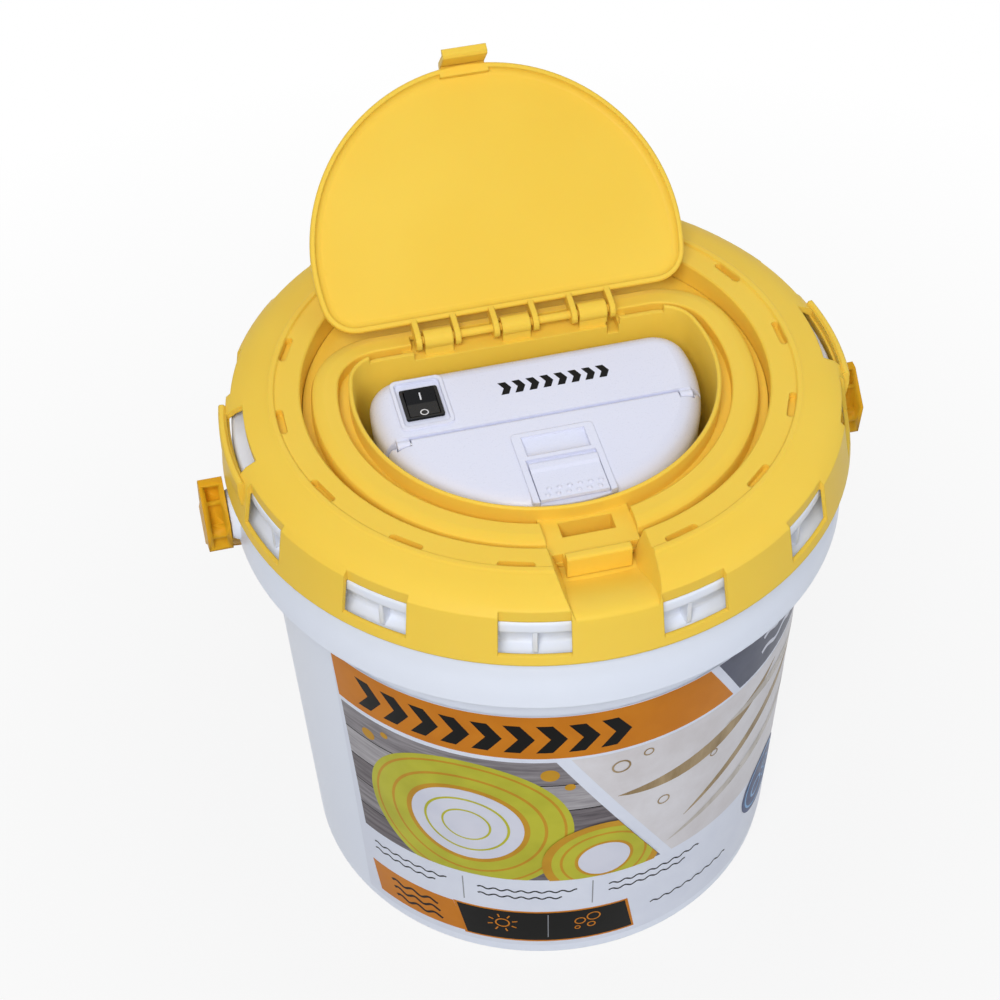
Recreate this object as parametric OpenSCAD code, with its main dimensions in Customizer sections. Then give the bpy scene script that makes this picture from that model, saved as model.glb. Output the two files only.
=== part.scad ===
// Insulated bait bucket with an aerator that drops into the lid.
// Millimetres, +Z up, origin at the centre of the pail's base, -Y is the latch side.

/* [Pail] */
// Outer radius of the pail at its foot
base_r = 106.9; // [100:0.1:112]
// Outer radius of the pail's wall at the neck height
neck_r = 117; // [114:0.1:119]
// Height at which the neck radius is taken
neck_z = 211; // [200:1:220]
// Thickness of the pail's wall
pail_wall = 2.4; // [1.6:0.1:3]
// Height of the foot ring under the floor
foot_h = 4; // [2:0.5:6]
// Outer radius of the hanging collar
collar_r = 128; // [126:0.1:129]
// Lower edge of the collar
collar_z = 200; // [190:1:208]
// Top of the rim bead
rim_z = 245.6; // [244:0.1:245.7]
// Outer radius of the rim bead
rim_r = 124.4; // [121:0.1:124.5]

/* [Liner] */
// Thickness of the foam liner's wall
foam_wall = 13; // [8:1:14]
// Thickness of the foam liner's floor
foam_floor = 13; // [8:1:20]
// Top of the foam liner
foam_top = 228; // [210:1:234]

/* [Lid ring] */
// Outer radius of the lid's skirt at its lower edge
skirt_r = 130; // [129:0.1:130.4]
// Height of the skirt's lower edge
skirt_z = 227.5; // [226.5:0.1:230]
// Radius of the opening that the middle of the lid sits in
ring_inner_r = 95.5; // [95.4:0.1:96]
// Top of the flat band round that opening
band_z = 256; // [255:0.1:257]
// Angle that one skirt window spans
window_angle = 12.5; // [8:0.5:13]
// Radius of the row of vent slots
slot_row_r = 104.4; // [102:0.1:104.6]
// Length of a vent slot
slot_len = 14.4; // [12:0.1:15]
// Width of a vent slot
slot_w = 3; // [2:0.1:3.4]

/* [Lid well] */
// Inner radius of the lip round the well
lip_r = 74; // [73.5:0.1:75]
// Straight rear edge of the well, from the pail's axis
lip_rear_y = 28.5; // [28:0.1:29]
// Place factor of the well's two rear corners
lip_corner = 1.28; // [1.2:0.01:1.3]
// Top of the lip
lip_z = 256.5; // [255:0.1:256.5]
// Top of the raised island round the well
island_z = 253.5; // [252:0.1:254]
// Inside bottom of the well
well_floor_z = 203.2; // [200:0.1:203.2]
// Height of the flat bridge under the latch
bridge_z = 250.3; // [250:0.1:251]

/* [Flap] */
// Radius of the flap's round edge
flap_r = 79; // [78:0.1:80]
// Straight rear edge of the closed flap, from the pail's axis
flap_rear_y = 25.9; // [25.5:0.1:26.2]
// Place factor of the flap's two rear corners
flap_corner = 1.2; // [1.18:0.01:1.28]
// Hinge axis of the flap, distance behind the pail's axis
hinge_y = 33.5; // [33:0.1:34]
// Hinge axis of the flap, height
hinge_z = 256; // [255.8:0.1:256.5]
// How far the flap stands open in the rest pose
flap_open = 140; // [120:1:140]
// Radius of the flap's hinge bar
bar_r = 1.75; // [1.5:0.05:1.8]

/* [Aerator] */
// Radius of the aerator housing's round side
case_r = 68; // [66:0.1:69]
// Straight rear side of the housing, from the pail's axis
case_rear_y = 22; // [20:0.1:23]
// Place factor of the housing's two rear corners
case_corner = 1.15; // [1.12:0.01:1.2]
// Underside of the housing
case_bottom_z = 203.6; // [203.5:0.1:205]
// Top of the housing
case_top_z = 250.5; // [249:0.1:250.5]
// Joint between the housing's base and its top
parting_z = 241; // [238:0.1:242]
// Wall of the housing
case_wall = 2; // [1.6:0.1:2.4]
// Battery cover's hinge axis, from the pail's axis
cover_hinge_y = -18.6; // [-20:0.1:-18]

/* [Bail] */
// Height of the bail's pivot axis
pivot_z = 210; // [206:1:214]
// How far back from straight down the bail hangs at rest
bail_hang = 42; // [40:1:60]
// Inner width between the bail's legs
bail_inner_w = 262; // [262:1:266]
// Thickness of the bail, seen from the front
bail_t = 10; // [8:0.5:10]
// Depth of the bail's section
bail_d = 19; // [14:0.5:19]
// Straight length of the bail's legs
bail_leg = 52; // [48:1:60]

/* [Hidden] */
$fn = 96;
eps = 0.01;
far = 300;

yellow = "gold";
white = "white";
dark = "#222428";
steel = "silver";

// Pail
slope = (neck_r - base_r) / neck_z;
ledge_z = 225;
bead_h = 6.6;
stud_r = 4.4;
stud_bore_r = stud_r + 0.06;
// Lid ring
windows = [14.25, 42.75, 71.25, 108.75, 137.25, 165.75];
slots = [18, 42, 66, 90, 114, 138, 162];
side_opening = 16;
recess_z = 243.9;
recess_foot = 14.6;
recess_flare = 0.37;
slot_depth = 3.2;
window_low = 231.8;
window_in_r = 124.4;
plug_r = 114.4;
// Lid well
lip_d = [lip_r, lip_rear_y, lip_corner];
insert_r = ring_inner_r - 0.3;
flange_z = 246;
channel_z = 248;
pocket_half = 44;
pocket_z = 250.3;
latch_half = 18;
window_x = 10.6;
bridge_y = -93.3;
bar_half = 12.8;
bar_y = [-100.4, -96.4];
bar_top = 254.2;
window_y = [-85, -77.3];
// Flap
flap_d = [flap_r, flap_rear_y, flap_corner];
flap_low_z = 256.9;
flap_top_z = 262;
ear_x = [8.4, 24.9, 41.4];
ear_t = 2.4;
block_x = [-33, 0, 33];
block_w = 12;
// Aerator
case_d = [case_r, case_rear_y, case_corner];
case_split = cover_hinge_y + 2.35;
cover_hinge_z = case_top_z - 2;
knuckle_r = 2;
knuckle_half = 55.5;
switch_at = [-46.8, 1.9];
switch_half = [6.5, 7.8];
rocker_tilt = 7;
motor_at = [-12, 4];
crank_off = 1.6;
rod_z = 236;
pump_x = [12.3, 30];
barb_x = 41;
barb_z = 236;
cell_y = [-29, -44.5];
cell_z = 218;
cell_r = 7.1;
screw_at = [[-59.5, 2], [59.5, 2], [-30, 16.4], [25, 16.4]];

// Outer radius of the pail's wall at a height
function body_r(z) = base_r + slope * z;

// Points on an arc round a centre, from one angle to another
function arc(c, r, a0, a1, n = 5) =
    [for (i = [0:n]) let (a = a0 + (a1 - a0) * i / n) [c[0] + r * cos(a), c[1] + r * sin(a)]];

// A ring turned about Z from a profile, over one angle centred on a direction.
// Direction 0 is the front, -Y, and angles grow towards +X.
module sector(at, angle) {
    rotate([0, 0, at - 90 - angle / 2]) rotate_extrude(angle = angle) children();
}

// A D outline is an arc about the origin, a straight rear edge and two round corners.
// It is given as d = [radius, rear edge, corner place factor]: the corners' centres lie
// at x = factor * (radius - rear edge), and the corner radius follows from that.
function corner_x(d) = (d[0] - d[1]) * d[2];
function corner_r(d) = (d[0] + d[1] - (d[0] - d[1]) * d[2] * d[2]) / 2;
function corner_y(d) = d[1] - corner_r(d);

// Part of a body that lies over a plan outline
module over(outline) {
    intersection() {
        children();
        linear_extrude(far + 100) polygon(outline);
    }
}

// Sweeps a profile of points [offset, height] round a D. Inward closes it to the middle.
module d_sweep(d, profile, inward) {
    cx = corner_x(d);
    cy = corner_y(d);
    middle = inward ? [[0, 0]] : [];
    over([[0, 0], [3 * cx, 3 * cy], [3 * cx, -far], [-3 * cx, -far], [-3 * cx, 3 * cy]])
        rotate_extrude() polygon(swept(profile, d[0], inward));
    for (s = [-1, 1]) over([[s * cx, cy], [s * 3 * cx, 3 * cy], [s * 3 * cx, far], [s * cx, far]])
        translate([s * cx, cy, 0]) rotate_extrude() polygon(swept(profile, corner_r(d), inward));
    over(concat(middle, [[cx, cy], [cx, far], [-cx, far], [-cx, cy]]))
        prism_x(-100, 100, swept(profile, d[1], inward));
}

// Profile points [offset, height] set at a radius, closed towards the axis when inward
function swept(profile, r, inward) = concat(
    inward ? [[0, profile[0][1]]] : [], [for (p = profile) [r + p[0], p[1]]],
    inward ? [[0, profile[len(profile) - 1][1]]] : []
);

// Body with a D outline; its profile runs over the side and is closed at the middle
module d_solid(d, side) {
    d_sweep(d, side, true);
}

// Wall that follows a D outline
module d_wall(d, profile) {
    d_sweep(d, profile, false);
}

// Box from its lowest to its highest corner
module block(low, high) {
    translate(low) cube([for (i = [0:2]) high[i] - low[i]]);
}

// Cylinder along X between two places
module bar_x(x0, x1, y, z, r) {
    translate([x0, y, z]) rotate([0, 90, 0]) cylinder(h = x1 - x0, r = r, $fn = 48);
}

// Prism along X whose outline is given in [y, z]
module prism_x(x0, x1, outline) {
    translate([x0, 0, 0]) rotate([90, 0, 90]) linear_extrude(x1 - x0) polygon(outline);
}

// Thin round tube swept along points, for wires and springs
function unit(v) = v / norm(v);
function ring(p, d, r, n) =
    let (side = abs(d[2]) > 0.9 ? [1, 0, 0] : [0, 0, 1], u = unit(cross(d, side)), v = cross(d, u))
    [for (i = [0:n - 1]) p + r * (cos(360 * i / n) * u + sin(360 * i / n) * v)];
function heading(pts, i) = unit(pts[min(i + 1, len(pts) - 1)] - pts[max(i - 1, 0)]);
module tube(pts, r, n = 6) {
    m = len(pts);
    rings = [for (i = [0:m - 1]) ring(pts[i], heading(pts, i), r, n)];
    faces = concat(
        [[for (i = [0:n - 1]) i]],
        [[for (i = [n - 1:-1:0]) (m - 1) * n + i]],
        [for (k = [0:m - 2], i = [0:n - 1]) [k * n + i, (k + 1) * n + i, k * n + (i + 1) % n]],
        [for (k = [0:m - 2], i = [0:n - 1])
            [(k + 1) * n + i, (k + 1) * n + (i + 1) % n, k * n + (i + 1) % n]]
    );
    polyhedron([for (k = rings, p = k) p], faces);
}

// Height at which the pail's wall meets its rim
function joint_z() = ledge_z - 2;

// Pail: tapered wall with its floor and ribbed foot, up to the rim
module pail() {
    foot_w = 3.2;
    floor_z = foot_h + 2.6;
    color(white) {
        rotate_extrude() polygon([
            [0, foot_h], [base_r - foot_w - 0.6, foot_h], [base_r - foot_w, 0],
            [base_r - 0.8, 0], [body_r(1.2), 1.2], [body_r(joint_z()), joint_z()],
            [body_r(joint_z()) - pail_wall, joint_z()], [body_r(floor_z + 3) - pail_wall, floor_z + 3],
            [body_r(floor_z) - pail_wall - 2, floor_z], [0, floor_z]
        ]);
        // Hub and ribs under the floor
        cylinder(h = foot_h + eps, r = 12);
        for (i = [0:11]) rotate([0, 0, 30 * i]) block([10, -1.2, 0], [base_r - 3, 1.2, foot_h + eps]);
    }
}

// Rim of the pail: hanging collar with gussets, ledge, bead and bail bosses
module pail_rim() {
    collar_t = 2.2;
    top_r = body_r(rim_z);
    in_r = top_r - pail_wall;
    bead_low = rim_z - bead_h;
    color(white) difference() {
        union() {
            rotate_extrude() polygon(concat(
                [
                    [body_r(joint_z()) - pail_wall, joint_z()], [body_r(joint_z()), joint_z()],
                    [collar_r - 0.8 - collar_t, ledge_z - 2.6], [collar_r - collar_t, collar_z],
                    [collar_r, collar_z], [collar_r - 0.3, 212], [collar_r - 0.9, 214],
                    [collar_r - 1.1, ledge_z - 0.8], [collar_r - 2, ledge_z + 0.6],
                    [body_r(ledge_z) + 0.9, ledge_z + 3.2], [body_r(ledge_z) + 0.2, ledge_z + 4.6],
                    [top_r - 0.2, bead_low - 0.6]
                ],
                arc([rim_r - 1.6, bead_low + 1.6], 1.6, -90, 0, 3),
                arc([rim_r - 2, rim_z - 2], 2, 0, 90, 4),
                arc([in_r + 1.4, rim_z - 1.2], 1.2, 90, 180, 3),
                [[in_r + 0.1, bead_low]]
            ));
            // Gussets that carry the collar, just clear of the wall
            for (i = [0:23]) rotate([0, 0, 15 * i + 7.5]) rotate([90, 0, 0])
                translate([0, 0, -0.8]) linear_extrude(1.6) polygon([
                    [body_r(collar_z + 3) + 0.3, collar_z + 3], [collar_r - collar_t + 0.4, collar_z + 8],
                    [collar_r - collar_t, ledge_z - 2], [body_r(joint_z()) + 0.3, joint_z() + 0.4]
                ]);
            // Short ribs in the channel under the bead, one for each window of the lid
            for (s = [-1, 1], a = windows) rotate([0, 0, s * a - 90])
                block([top_r - 1, -1, ledge_z + 2], [rim_r - 1.4, 1, bead_low + 1]);
            // Bosses that the bail's studs sit in
            for (s = [-1, 1]) translate([s * 126, 0, pivot_z]) rotate([0, s * 90, 0])
                cylinder(h = 4.6, r1 = 12, r2 = 10, $fn = 64);
        }
        for (s = [-1, 1]) bar_x(s < 0 ? -far : 119.5, s < 0 ? -119.5 : far, 0, pivot_z, 3.06);
    }
}

// Foam liner: a loose insulating cup, open at the top
module foam_liner() {
    low = foot_h + 3.2;
    clear = pail_wall + 0.6;
    color("whitesmoke") rotate_extrude() polygon([
        [0, low], [body_r(low + 4) - clear - 4, low], [body_r(low + 4) - clear, low + 4],
        [body_r(foam_top) - clear, foam_top], [body_r(foam_top) - clear - foam_wall + 1.5, foam_top],
        [body_r(foam_top) - clear - foam_wall, foam_top - 1.5],
        [body_r(low) - clear - foam_wall, low + foam_floor + 8],
        [body_r(low) - clear - foam_wall - 8, low + foam_floor], [0, low + foam_floor]
    ]);
}

// Printed label: a thin skin on the pail's wall
module label() {
    low = 7;
    high = 180;
    start = -60.5;
    end = 110;
    color("darkorange") sector((start + end) / 2, end - start) polygon([
        [body_r(low) + 0.1, low], [body_r(low) + 0.5, low],
        [body_r(high) + 0.5, high], [body_r(high) + 0.1, high]
    ]);
}

// Studs that the bail's legs spring over and turn on
module bail_studs() {
    tip = bail_inner_w / 2 + bail_t - 2.6;
    color(white) for (s = [0, 1]) mirror([s, 0, 0]) {
        bar_x(120.5, 131, 0, pivot_z, 3);
        bar_x(130.8, tip, 0, pivot_z, stud_r);
        translate([tip, 0, pivot_z]) rotate([0, 90, 0])
            cylinder(h = 0.8, r1 = stud_r, r2 = stud_r - 0.8, $fn = 48);
    }
}

// Bail as it hangs straight down from its pivot, centred on the pivot axis
module bail_straight() {
    x_in = bail_inner_w / 2;
    x_out = x_in + bail_t;
    half = bail_d / 2;
    chamfer = 1.4;
    section = [
        [x_in + chamfer, -half], [x_out - chamfer, -half], [x_out, -half + chamfer],
        [x_out, half - chamfer], [x_out - chamfer, half], [x_in + chamfer, half],
        [x_in, half - chamfer], [x_in, -half + chamfer]
    ];
    pocket_w = bail_t - 3.6;
    pocket_d = half - 1.6;
    difference() {
        union() {
            translate([0, 0, -bail_leg]) rotate([-90, 0, 0]) rotate_extrude(angle = 180) polygon(section);
            for (s = [0, 1]) mirror([s, 0, 0]) {
                translate([0, 0, -bail_leg - eps]) linear_extrude(bail_leg - 8) polygon(section);
                prism_x(x_in, x_out, [
                    [-half, -22], [-14, -2], [-5, 11.5], [half + 3, 11.5],
                    [15.3, 9], [15.3, -2], [half, -22]
                ]);
            }
        }
        // Ladder pockets in both faces of the legs and the crown
        for (side = [-1, 1]) {
            for (s = [0, 1], i = [0:1]) mirror([s, 0, 0])
                translate([x_in + 1.8, side > 0 ? 1.6 : -1.6 - pocket_d, -bail_leg + 2 + 16 * i])
                    cube([pocket_w, pocket_d, 13]);
            for (a = [4, 17, 30, 43, 124, 137, 150, 163]) translate([0, 0, -bail_leg])
                rotate([0, 180 - a, 0]) rotate([90, 0, 0]) rotate_extrude(angle = 11)
                        translate([x_in + 1.8, side > 0 ? -1.6 - pocket_d : 1.6])
                            square([pocket_w, pocket_d]);
        }
        // Core-outs in the end and the slope of each head, and the blind bores for the studs
        for (s = [0, 1]) mirror([s, 0, 0]) {
            block([x_in + 2.2, 5.8, 6], [x_out - 2.2, 11.6, 20]);
            prism_x(x_in + 2.2, x_out - 2.2, [
                [4.2, 6.2], [4.2, 13], [-6, 13], [-9.6, 6.6], [-6.2, 4.4], [-3.6, 6.2]
            ]);
            prism_x(x_in + 2.2, x_out - 2.2, [[-7, 3.2], [-10.6, 5.6], [-14.6, -0.4], [-9.8, -0.6]]);
            bar_x(x_in - 1, x_out - 1.4, 0, 0, stud_bore_r);
        }
    }
}

// Bail: the carrying handle, hanging back at rest
module bail() {
    color(yellow) translate([0, 0, pivot_z]) rotate([bail_hang, 0, 0]) bail_straight();
}

// Outline of the lid ring's top side, from its opening to the skirt's lower edge
function ring_top() = [
    [ring_inner_r, band_z - 0.6], [ring_inner_r + 0.6, band_z], [105.8, band_z], [106.3, band_z + 0.9],
    [108.3, band_z + 0.9], [109.5, band_z + 0.2], [114, band_z - 0.4], [119, band_z - 1.7],
    [123.5, band_z - 3.8], [126.3, band_z - 6.6], [128.2, 238], [skirt_r, skirt_z]
];

// Latch recess in the front of the ring: sloped side walls over a floor that climbs outwards.
// A lower floor and wider walls give its shell, the plain form gives its hollow.
module recess(grow) {
    foot = recess_foot + grow;
    tall = 30;
    low = recess_z - grow;
    intersection() {
        translate([0, -85, 0]) rotate([90, 0, 0]) linear_extrude(60) polygon([
            [-foot, low], [foot, low], [foot + recess_flare * tall, low + tall],
            [-foot - recess_flare * tall, low + tall]
        ]);
        rotate_extrude() polygon([
            [80, low], [102.5, low], [106, low + 0.9], [112, low + 3.3], [117, low + 4.8], [121, low + 5.3],
            [124.4, low + 5.2], [126, low + 4.4], [127.4, low + 2.4], [129.5, low], [150, low],
            [150, low + tall], [80, low + tall]
        ]);
    }
}

// Lid ring: the outer ring that clips on the pail's rim, with windows, vent slots and latch recess
module lid_ring() {
    low = 242;
    ledge_r = 92.2;
    color(yellow) difference() {
        union() {
            rotate_extrude() polygon(concat(
                [[ledge_r, low], [ledge_r, low + 1.9], [ring_inner_r, low + 1.9]], ring_top(),
                [
                    [skirt_r - 1.8, skirt_z], [126.4, 238], [124.8, 247.4], [122, 249.8], [118, 251.8],
                    [plug_r, 253.1], [plug_r, 234], [plug_r - 2, 234], [plug_r - 2, 253.3],
                    [97.5, 253.9], [97.5, low]
                ]
            ));
            // Stiffening ribs under the band
            for (i = [0:23]) rotate([0, 0, 15 * i + 3]) block([97, -0.8, 247], [plug_r - 1, 0.8, 253.6]);
            // Snap ridges inside the skirt, between the windows
            for (a = [28.5, 57, 90, 123, 151.5], s = [-1, 1]) sector(s * a, 8)
                polygon([[127, 238.6], [124.8, 237.7], [124.8, 236.2], [127.6, 234.4]]);
            // Walls behind the windows, from the shoulder down to the pail's bead
            for (s = [-1, 1], a = windows) sector(s * a, window_angle + 2) polygon([
                [window_in_r - 2, 246], [window_in_r + 0.5, 246],
                [window_in_r + 0.5, 250], [window_in_r - 2, 251.4]
            ]);
            // Standing bands outside the two side openings
            for (s = [-1, 1]) sector(s * 89.5, side_opening + 5) polygon([
                [126.6, 238], [128.6, 238], [129.4, 244], [129.2, 249.6], [128.6, 250.4],
                [127, 250.4], [126.4, 249.6], [125.2, 244]
            ]);
            // Shell of the latch recess
            intersection() {
                recess(1.9);
                rotate_extrude() polygon(concat(
                    [[ring_inner_r, 241]], ring_top(), [[128.1, skirt_z], [126.5, 241]]
                ));
            }
            // Bosses under the vent slots
            for (s = [-1, 1], a = slots) rotate([0, 0, s * a - 90]) translate([slot_row_r, 0, 0])
                block([-slot_w / 2 - 1.2, -slot_len / 2 - 1.2, band_z - slot_depth - 1.4],
                    [slot_w / 2 + 1.2, slot_len / 2 + 1.2, band_z - 1]);
        }
        recess(0);
        // Skirt windows
        for (s = [-1, 1], a = windows) sector(s * a, window_angle) polygon([
            [window_in_r, window_low], [135, window_low], [135, 262], [window_in_r, 262]
        ]);
        // Side openings in the top
        for (s = [-1, 1]) sector(s * 89.5, side_opening)
            polygon([[119, 247], [125.8, 247], [126, 262], [119, 262]]);
        // Vent slots, each a blind groove
        for (s = [-1, 1], a = slots) rotate([0, 0, s * a - 90])
            translate([slot_row_r, 0, band_z - slot_depth]) {
                for (k = [-1, 1]) translate([0, k * (slot_len - slot_w) / 2, 0])
                    cylinder(h = 20, r = slot_w / 2, $fn = 24);
                block([-slot_w / 2, -(slot_len - slot_w) / 2, 0], [slot_w / 2, (slot_len - slot_w) / 2, 20]);
            }
        // Groove that holds the gasket
        rotate_extrude() translate([plug_r - 0.8, 237]) square([1, 3]);
    }
}

// Gasket: rubber ring round the lid's plug, inside the pail's rim
module lid_gasket() {
    color(dark) rotate_extrude() polygon([
        [plug_r - 0.75, 237.1], [plug_r + 0.4, 237.1], [plug_r + 1.2, 238],
        [plug_r + 1.2, 239], [plug_r + 0.4, 239.9], [plug_r - 0.75, 239.9]
    ]);
}

// Lid well: the middle of the lid, with the cup for the aerator, the hinge blocks and the latch bar
module lid_well() {
    taper = 2.4;
    island = [
        [6.2, channel_z], [6.2, island_z - 0.5], [6.7, island_z], [12, island_z], [15, island_z - 0.4],
        [16.7, island_z - 1.5], [17.4, 250.2], [17.4, flange_z - 2]
    ];
    cup_and_island = concat([
        [-taper - 2.6, well_floor_z], [-taper - 0.8, well_floor_z + 0.8], [-taper, well_floor_z + 2.6],
        [0, lip_z - 0.6], [0.5, lip_z], [1.2, lip_z], [1.8, lip_z - 0.7], [1.8, channel_z]
    ], island, [
        [15.4, flange_z - 2], [15.4, 249.6], [14, 251.2], [8.2, 251.5], [8.2, flange_z], [1.8, flange_z],
        [2 - taper, well_floor_z], [-taper - 1.6, well_floor_z - 2]
    ]);
    color(yellow) difference() {
        union() {
            difference() {
                union() {
                    d_solid(lip_d, cup_and_island);
                    // Floor plate under the hinge
                    block([-pocket_half - 4, lip_rear_y + 1, flange_z], [pocket_half + 4, 42, pocket_z]);
                    // Flange that fills the ring's opening
                    difference() {
                        translate([0, 0, flange_z - 1.9]) cylinder(h = 1.9, r = insert_r);
                        d_solid(lip_d, [[16, flange_z - 4], [16, flange_z + 4]]);
                    }
                }
                // Hinge zone, lower than the lip and the island
                block([-pocket_half, lip_rear_y - 3, pocket_z], [pocket_half, 40, lip_z + 5]);
                // The rear stretch of the lip is lower than its sides
                block([-63, lip_rear_y - 3, island_z - 0.2], [63, lip_rear_y + 3, lip_z + 5]);
                // The island stops on both sides of the latch
                difference() {
                    block([-latch_half, -120, bridge_z], [latch_half, -68, lip_z + 5]);
                    d_solid(lip_d, [[4, 240], [4, 270]]);
                }
            }
            // Bridge plate, and the pocket under it that takes the flap's hook
            difference() {
                union() {
                    block([-latch_half, bridge_y, flange_z - 1], [latch_half, -70, bridge_z]);
                    block([-window_x - 1.8, window_y[0] - 1.8, 239], [window_x + 1.8, -70, bridge_z]);
                }
                d_solid(lip_d, [[1.2, 200], [1.2, 260]]);
            }
            // End walls of the island, beside the bridge
            intersection() {
                d_wall(lip_d, island);
                for (s = [-1, 1]) block([s * (latch_half + 1) - 1, -120, channel_z],
                    [s * (latch_half + 1) + 1, -60, island_z + 1]);
            }
            // Latch bar, standing in front of the bridge
            prism_x(-bar_half, bar_half, concat(
                [[bar_y[0], recess_z + 0.4], [bar_y[0] + 2.4, recess_z + 0.4], [bar_y[0] + 2.4, flange_z],
                    [bridge_y + 1, flange_z], [bridge_y + 1, bridge_z], [bar_y[1], bridge_z]],
                arc([bar_y[1] - 1, bar_top - 1], 1, 0, 90, 3),
                arc([bar_y[0] + 1.2, bar_top - 1.2], 1.2, 90, 180, 3)
            ));
            // Hook blocks that hold the flap's bar
            for (x = block_x) hook_block(x);
        }
        // Latch window
        block([-window_x, window_y[0], 240.8], [window_x, window_y[1], 270]);
        // Way out for the air hose at the top of the rear wall
        block([barb_x - 2.5, lip_rear_y - 3, flange_z + 0.4], [barb_x + 2.5, 37, pocket_z + 1]);
        for (x = block_x) hook_bore(x);
    }
}

// One hinge block: a front plate with a hook that closes over the bar
module hook_block(x) {
    r_out = bar_r + 2.2;
    bar_x(x - block_w / 2, x + block_w / 2, hinge_y, hinge_z, r_out);
    block([x - block_w / 2, lip_rear_y + 1.7, pocket_z - 1], [x + block_w / 2, hinge_y, hinge_z]);
}

// The bar's seat in a hinge block, open at the back
module hook_bore(x) {
    bore = bar_r + 0.08;
    bar_x(x - block_w / 2 - 1, x + block_w / 2 + 1, hinge_y, hinge_z, bore);
    prism_x(x - block_w / 2 - 1, x + block_w / 2 + 1, [
        [hinge_y + 0.9, hinge_z - 1.5], [hinge_y + 6, hinge_z - 6], [hinge_y + 6, hinge_z + 1.2],
        [hinge_y + 0.9, hinge_z + 1.2]
    ]);
}

// Flap in its closed place
module flap_closed() {
    shell = concat(
        [[-8, flap_low_z + 3.2]], arc([-5.1, flap_low_z + 0.2], 3, 84, 10, 4),
        [[-2.1, flap_low_z], [-0.6, flap_low_z], [0, flap_low_z + 0.6]],
        arc([-2.2, flap_top_z - 2.2], 2.2, 0, 90, 5)
    );
    union() {
        d_solid(flap_d, shell);
        // Ears and the bar that joins them
        for (s = [-1, 1], x = ear_x) prism_x(s * x - ear_t / 2, s * x + ear_t / 2, concat(
            [[flap_rear_y - 1.5, flap_low_z], [flap_rear_y - 1.5, flap_top_z - 0.6]],
            arc([hinge_y, hinge_z], 4.2, 68, -90, 7), [[hinge_y - 2.6, hinge_z - 3.3]]
        ));
        bar_x(-ear_x[2], ear_x[2], hinge_y, hinge_z, bar_r);
        // Hook that reaches down into the latch window
        prism_x(-9.5, 9.5, [
            [-75, 259], [-75, 262.2], [-79.8, 263.2], [-81.4, 262.6], [-82.2, 261], [-81.8, 249.4],
            [-84, 248.2], [-83.6, 247], [-80.6, 246.2], [-79.4, 247.4], [-79.4, 258.6], [-78.4, 259.4]
        ]);
        // Flat stretch of the rim behind the hook
        block([-10.5, -flap_r + 1.6, flap_low_z], [10.5, -flap_r + 4.4, flap_top_z - 1]);
    }
}

// Flap: the D-shaped door over the aerator, standing open at rest
module flap() {
    color(yellow) translate([0, hinge_y, hinge_z]) rotate([-flap_open, 0, 0])
        translate([0, -hinge_y, -hinge_z]) flap_closed();
}

// Body with the aerator's outline
module case_solid(side) {
    d_solid(case_d, side);
}

// The whole cap as a solid, to trim what is added to it
function cap_outside() = concat(
    [[0, parting_z + 0.5]], arc([-8.2, case_top_z - 8.2], 8.2, 5, 90, 6)
);

// Moulded cap of the aerator, both halves, as a shell
module cap_shell() {
    case_solid(concat(
        arc([-8.2, case_top_z - 8.2], 8.2 - case_wall, 90, 5, 6), [[-case_wall, parting_z + 0.5]],
        cap_outside()
    ));
}

// Aerator base: the cup that holds the cells, the motor and the pump
module aerator_base() {
    cup = concat(
        arc([-6.9, case_bottom_z + 5.2], 3, -90, -5, 3),
        [[-2.2, parting_z - 5.4], [-4.4, parting_z - 3.2], [-4.4, parting_z - 0.1], [0, parting_z - 0.1],
            [-0.2, parting_z - 3]],
        arc([-5.9, case_bottom_z + 4], 4, -5, -90, 4)
    );
    color(white) difference() {
        union() {
            case_solid(cup);
            intersection() {
                case_solid([[-3.5, case_bottom_z + 1], [-3.5, parting_z - 0.1]]);
                union() {
                    // Wall between the cells and the motor
                    block([-far, case_split, case_bottom_z + 1], [far, case_split + 1.8, far]);
                    // Rests under the cell tray
                    for (y = [-48, -26])
                        block([-26, y - 1, case_bottom_z + 1], [26, y + 1, case_bottom_z + 5.3]);
                    // Screw bosses
                    for (p = screw_at) translate([p[0], p[1], case_bottom_z + 1])
                        cylinder(h = far, r = 3.2, $fn = 32);
                    // Motor cradle
                    difference() {
                        translate([motor_at[0], motor_at[1], case_bottom_z + 1]) cylinder(h = 10, r = 12);
                        translate([motor_at[0], motor_at[1], case_bottom_z]) cylinder(h = 12, r = 10.3);
                        block([motor_at[0] - 5, -far, 0], [motor_at[0] + 5, far, far]);
                    }
                }
            }
        }
        for (p = screw_at) translate([p[0], p[1], 0]) {
            cylinder(h = far, r = 1.3, $fn = 24);
            cylinder(h = case_bottom_z + 2.6, r = 2.9, $fn = 24);
        }
        // Groove for the seal
        d_wall(case_d, [
            [-3, parting_z - 1.3], [-1.5, parting_z - 1.3], [-1.5, parting_z], [-3, parting_z]
        ]);
        // Hole for the outlet barb
        translate([barb_x, case_rear_y - 9, barb_z]) rotate([-90, 0, 0]) cylinder(h = 12, r = 2.06, $fn = 32);
    }
}

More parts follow.
